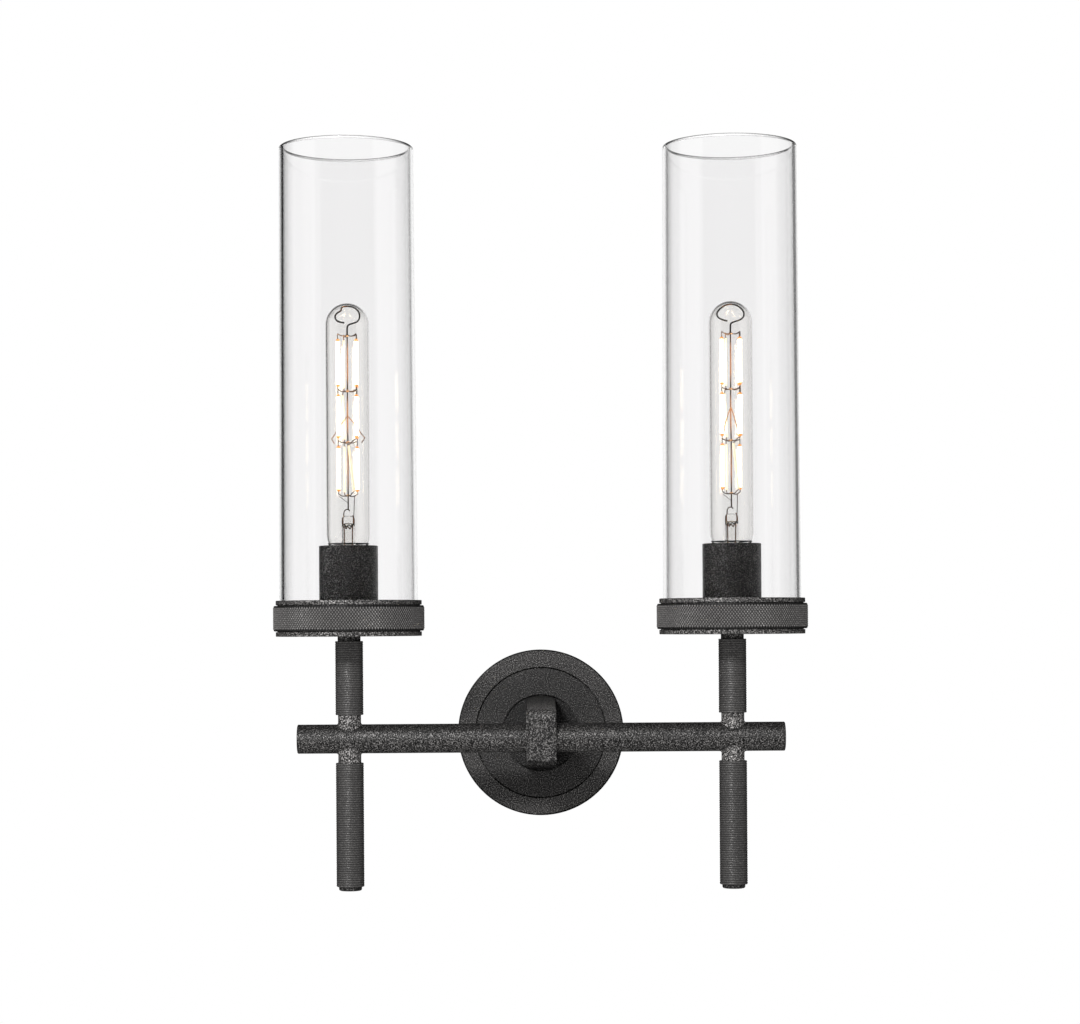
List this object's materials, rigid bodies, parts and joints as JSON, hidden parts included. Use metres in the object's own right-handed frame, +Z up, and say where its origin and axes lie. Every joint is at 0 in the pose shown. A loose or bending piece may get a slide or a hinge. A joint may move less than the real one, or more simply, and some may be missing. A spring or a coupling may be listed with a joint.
{
  "type": "vanity light",
  "caption": "Wall vanity light: round canopy, tongue arm and crossbar carrying ribbed stems, knurled shade cups, tubular filament bulbs and tall open glass cylinders.",
  "frame": {"origin": "centre of the canopy and of the bracket's screw pattern, on the wall plane", "axes": "+Z up along the lamps, +Y into the wall, +X to the right seen from the room"},
  "size_m": [0.392, 0.1604, 0.5444],
  "materials": {
    "textured_iron": "dark sand-textured iron",
    "zinc_steel": "zinc plated",
    "earth_green": "dyed steel",
    "gasket_rubber": "matte silicone",
    "socket_moulding": "moulded",
    "brass": "bright",
    "nickel": "nickel plated",
    "lead_insulation": "wire insulation",
    "shade_glass": "clear",
    "bulb_glass": "clear",
    "mount_wire": "bare wire",
    "filament": "phosphor coating, lit"
  },
  "bodies": {
    "fixture": {"mounting_bracket": "zinc_steel", "ground_screw": "earth_green", "canopy_shell": "textured_iron", "canopy_face_disc": "textured_iron", "canopy_side_screws": "textured_iron", "arm_bracket": "textured_iron", "arm_pipe": "zinc_steel", "arm_lock_washer": "zinc_steel", "arm_nut": "zinc_steel", "cross_bar": "textured_iron", "bar_end_caps": "textured_iron", "left_upper_stem": "textured_iron", "left_lower_stem": "textured_iron", "left_upper_sleeve": "textured_iron", "left_lower_sleeve": "textured_iron", "left_stem_tip": "textured_iron", "left_stem_pipe": "zinc_steel", "left_shade_cup": "textured_iron", "left_knurled_band": "textured_iron", "left_shade_gasket": "gasket_rubber", "left_lamp_pipe": "zinc_steel", "left_lamp_nut": "zinc_steel", "left_socket_cup": "textured_iron", "left_socket_body": "socket_moulding", "left_socket_shell": "brass", "left_socket_contact": "brass", "left_lamp_leads": "lead_insulation", "right_upper_stem": "textured_iron", "right_lower_stem": "textured_iron", "right_upper_sleeve": "textured_iron", "right_lower_sleeve": "textured_iron", "right_stem_tip": "textured_iron", "right_stem_pipe": "zinc_steel", "right_shade_cup": "textured_iron", "right_knurled_band": "textured_iron", "right_shade_gasket": "gasket_rubber", "right_lamp_pipe": "zinc_steel", "right_lamp_nut": "zinc_steel", "right_socket_cup": "textured_iron", "right_socket_body": "socket_moulding", "right_socket_shell": "brass", "right_socket_contact": "brass", "right_lamp_leads": "lead_insulation"},
    "left_shade": {"left_glass_shade": "shade_glass"},
    "left_bulb_foot": {"left_bulb_eyelet": "brass"},
    "left_bulb": {"left_bulb_glass": "bulb_glass", "left_bulb_base": "nickel", "left_bulb_insulator": "socket_moulding", "left_bulb_mount": "bulb_glass", "left_filament_frame": "mount_wire", "left_led_filaments": "filament"},
    "right_shade": {"right_glass_shade": "shade_glass"},
    "right_bulb_foot": {"right_bulb_eyelet": "brass"},
    "right_bulb": {"right_bulb_glass": "bulb_glass", "right_bulb_base": "nickel", "right_bulb_insulator": "socket_moulding", "right_bulb_mount": "bulb_glass", "right_filament_frame": "mount_wire", "right_led_filaments": "filament"}
  },
  "joints": [
    {"name": "left_shade_lift", "type": "slide", "parent": "fixture", "child": "left_shade", "axis": [0, 0, 1], "range_m": [0, 0.245]},
    {"name": "left_bulb_rise", "type": "slide", "parent": "fixture", "child": "left_bulb_foot", "axis": [0, 0, 1], "range_m": [0, 0.0182]},
    {"name": "left_bulb_turn", "type": "hinge", "parent": "left_bulb_foot", "child": "left_bulb", "pos_m": [-0.1405, -0.105, 0.11], "axis": [0, 0, 1], "range_deg": [0, 1800]},
    {"name": "right_shade_lift", "type": "slide", "parent": "fixture", "child": "right_shade", "axis": [0, 0, 1], "range_m": [0, 0.245]},
    {"name": "right_bulb_rise", "type": "slide", "parent": "fixture", "child": "right_bulb_foot", "axis": [0, 0, 1], "range_m": [0, 0.0182]},
    {"name": "right_bulb_turn", "type": "hinge", "parent": "right_bulb_foot", "child": "right_bulb", "pos_m": [0.1405, -0.105, 0.11], "axis": [0, 0, 1], "range_deg": [0, 1800]}
  ],
  "couplings": [
    {"joint": "left_bulb_rise", "follows": "left_bulb_turn", "m_per_rad": 0.00057757},
    {"joint": "right_bulb_rise", "follows": "right_bulb_turn", "m_per_rad": 0.00057757}
  ]
}
